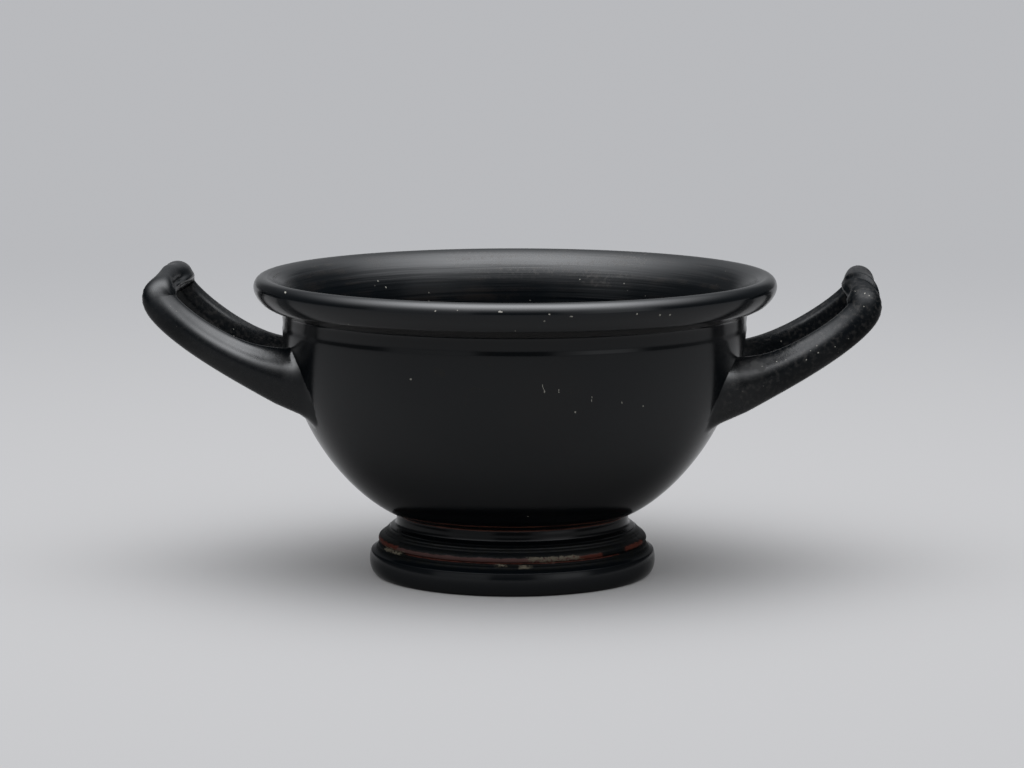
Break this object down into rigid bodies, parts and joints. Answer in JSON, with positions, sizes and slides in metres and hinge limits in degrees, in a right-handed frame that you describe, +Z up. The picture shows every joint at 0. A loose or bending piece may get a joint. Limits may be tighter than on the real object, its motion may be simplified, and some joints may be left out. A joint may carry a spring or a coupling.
{
  "type": "cup-skyphos",
  "caption": "Deep footed drinking bowl with an outturned moulded rim, a hollow ring foot and horseshoe handles with pinched tips bent up and inward.",
  "frame": {"origin": "centre of the foot's resting ring, on the surface that the cup stands on", "axes": "+Z up along the axis of the wheel-thrown body; +X along the line of the two handles, towards the handle on the right in the picture; +Y away from the viewer"},
  "size_m": [0.1972, 0.14, 0.0838],
  "materials": {
    "black_gloss": "black-gloss slip over fired clay, semi-gloss, with fine wheel marks, small chips and pale incrustation; clay shows red-brown in thin bands on the foot"
  },
  "bodies": {
    "root": {"cup_skyphos": "black_gloss"}
  },
  "joints": []
}
